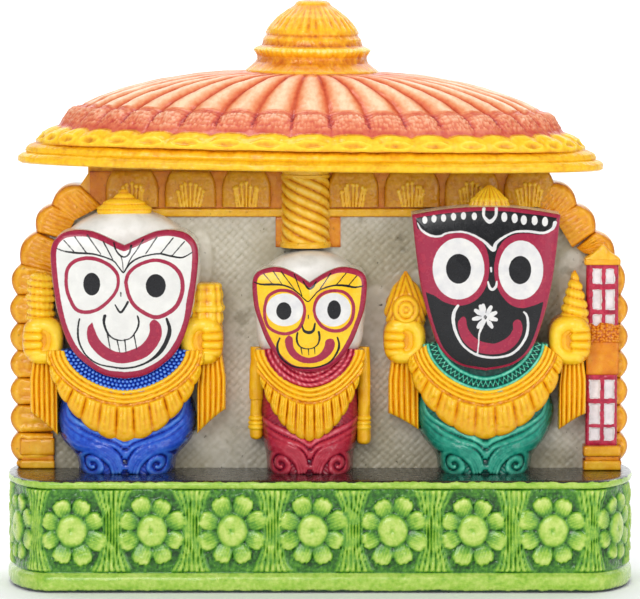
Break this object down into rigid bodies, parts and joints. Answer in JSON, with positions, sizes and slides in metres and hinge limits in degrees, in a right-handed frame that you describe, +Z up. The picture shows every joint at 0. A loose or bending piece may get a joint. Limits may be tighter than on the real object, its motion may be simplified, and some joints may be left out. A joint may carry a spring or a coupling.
{
  "type": "painted shrine figurine",
  "caption": "Small painted cast shrine: three masked figures before a petal arch, under a ribbed umbrella canopy, on a plinth with a lotus frieze.",
  "frame": {"origin": "middle of the plinth's underside", "axes": "+X to the viewer's right along the plinth, +Y from the front to the back, +Z up"},
  "size_m": [0.152, 0.052, 0.1412],
  "materials": {
    "plinth_paint": "gloss enamel, green washed over carving",
    "wall_paint": "gloss enamel, golden yellow on off-white",
    "canopy_paint": "gloss enamel, peach, orange-red and yellow",
    "figure_paint": "gloss enamel, hand-painted"
  },
  "bodies": {
    "root": {"plinth": "plinth_paint", "back_wall": "wall_paint", "canopy": "canopy_paint", "balabhadra_figure": "figure_paint", "subhadra_figure": "figure_paint", "jagannath_figure": "figure_paint"}
  },
  "joints": []
}
